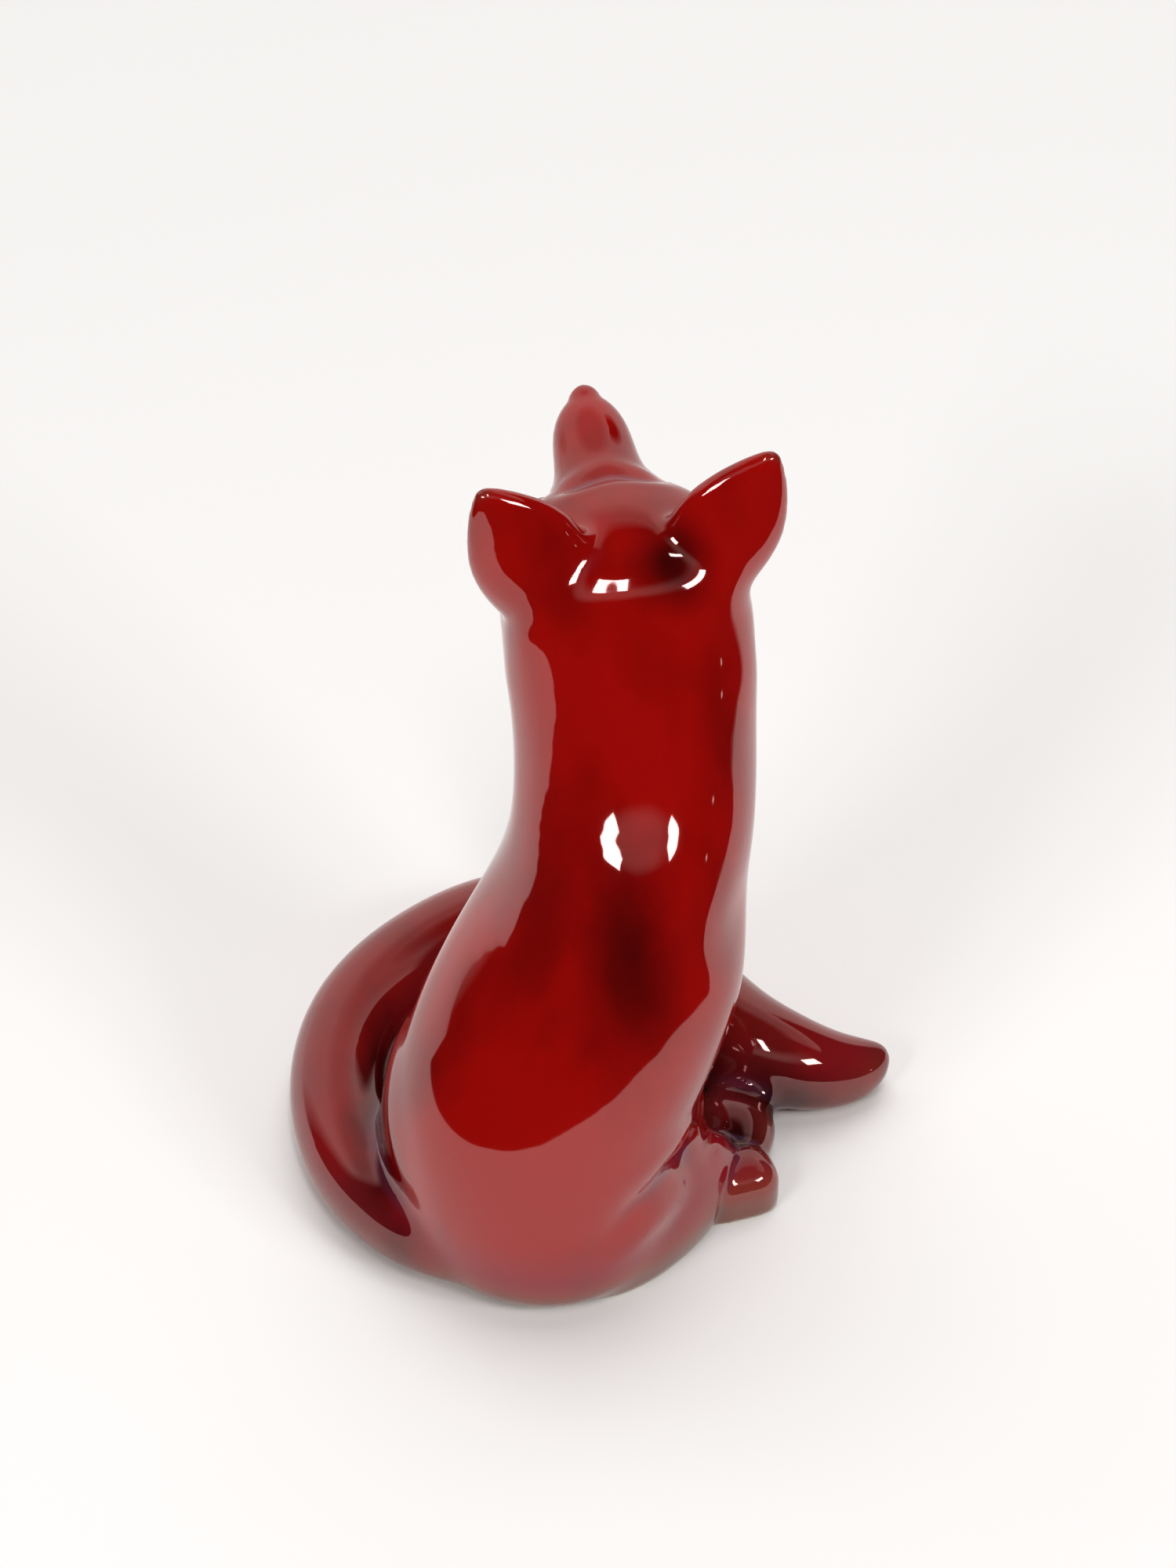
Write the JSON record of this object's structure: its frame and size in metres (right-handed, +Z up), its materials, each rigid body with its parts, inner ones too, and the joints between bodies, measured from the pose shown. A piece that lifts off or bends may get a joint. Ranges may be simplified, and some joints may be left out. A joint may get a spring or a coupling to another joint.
{
  "type": "seated fox figurine",
  "caption": "Seated ceramic fox ornament with pricked ears, raised muzzle and a thick tail curled round its feet, flambe red glaze, hollow body on a flat base.",
  "frame": {"origin": "on the flat base under the fox's seat, at the level of the surface it stands on", "axes": "+Z up through the head, -Y the way the chest faces, +X the fox's left side, where the tail curls"},
  "size_m": [0.0735, 0.0701, 0.0986],
  "materials": {
    "glaze": "gloss"
  },
  "bodies": {
    "root": {"body": "glaze", "head": "glaze", "left_ear": "glaze", "right_ear": "glaze", "tail": "glaze", "left_foreleg": "glaze", "right_foreleg": "glaze", "left_hind_foot": "glaze", "right_hind_foot": "glaze"}
  },
  "joints": []
}
